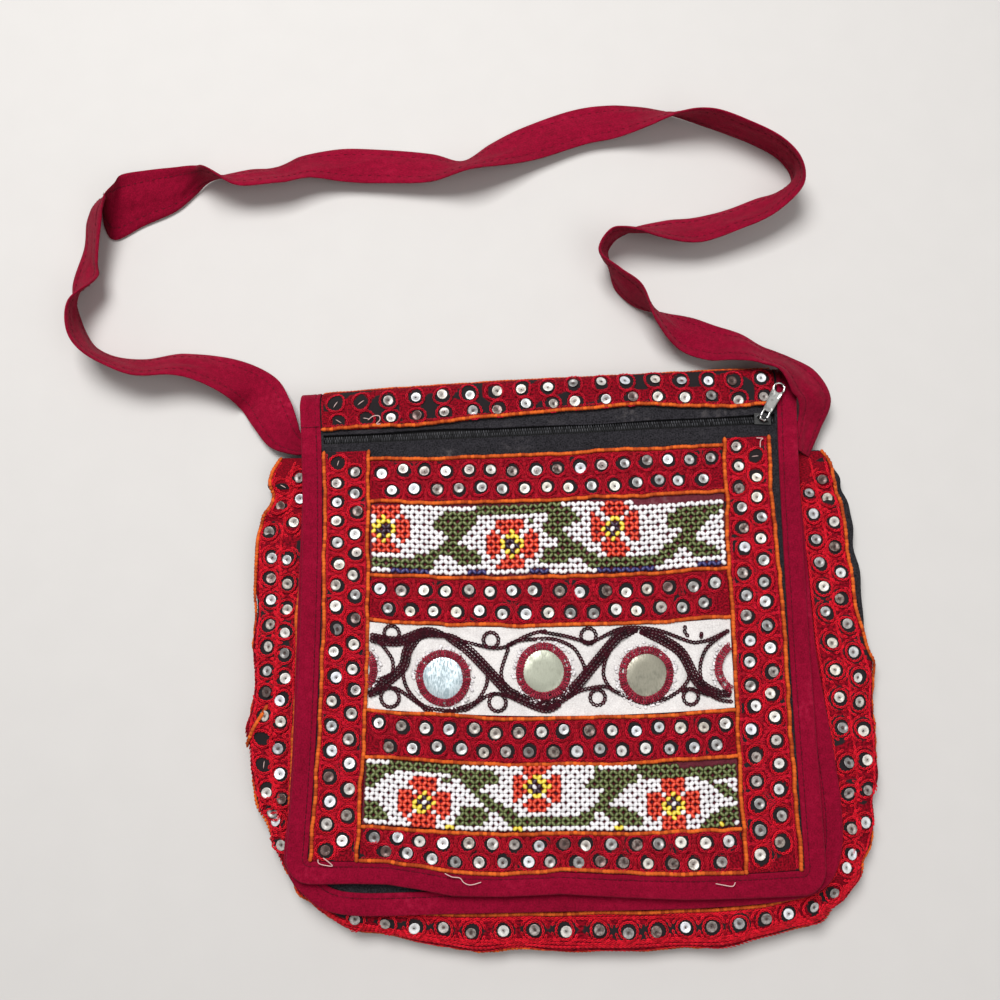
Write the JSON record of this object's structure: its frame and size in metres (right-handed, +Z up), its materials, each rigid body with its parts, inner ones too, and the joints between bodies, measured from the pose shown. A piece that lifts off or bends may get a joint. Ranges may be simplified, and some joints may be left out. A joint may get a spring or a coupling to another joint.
{
  "type": "embroidered shoulder bag",
  "caption": "Flat cotton flap bag with embroidered sequin bands, netted bead panels, round mirrors, a zip pocket in the flap and a folded cotton shoulder strap, lying on its back.",
  "frame": {"origin": "near the middle of the back panel's resting face, on the floor", "axes": "+X to the right as the flap is seen, +Y towards the flap's fold and the strap, +Z up out of the flap"},
  "size_m": [0.4986, 0.5325, 0.0344],
  "materials": {
    "charcoal_cotton": "plain woven cotton, matt",
    "crimson_cotton": "plain woven cotton, matt",
    "sequin_embroidery": "chain stitch over dark cloth with silver cup sequins",
    "seed_beads": "netted opaque glass seed beads, glossy",
    "white_cotton": "woven cotton with chain-stitch scrolls",
    "mirror_glass": "silvered glass",
    "zip_black": "nylon coil and woven tape",
    "zip_metal": "bright plated zinc, bare of lettering"
  },
  "bodies": {
    "bag": {"back_panel": "charcoal_cotton", "front_panel": "charcoal_cotton", "gusset": "charcoal_cotton", "gusset_trim": "sequin_embroidery", "front_binding": "crimson_cotton", "back_binding": "crimson_cotton", "flap": "charcoal_cotton", "flap_binding": "crimson_cotton", "band_top": "sequin_embroidery", "band_1": "sequin_embroidery", "band_2": "sequin_embroidery", "band_3": "sequin_embroidery", "band_4": "sequin_embroidery", "band_left": "sequin_embroidery", "band_right": "sequin_embroidery", "bead_panel_upper": "seed_beads", "bead_panel_lower": "seed_beads", "mirror_panel": "white_cotton", "mirror_1": "mirror_glass", "mirror_2": "mirror_glass", "mirror_3": "mirror_glass", "zip_tape": "zip_black", "zip_coil": "zip_black", "zip_slider": "zip_metal", "strap": "crimson_cotton"},
    "pull": {"zip_pull": "zip_metal"}
  },
  "joints": [
    {"name": "pull_swing", "type": "hinge", "parent": "bag", "child": "pull", "pos_m": [0.12717, 0.13379, 0.02328], "axis": [0.8709, -0.4915, -0.0059], "range_deg": [0, 165]}
  ]
}
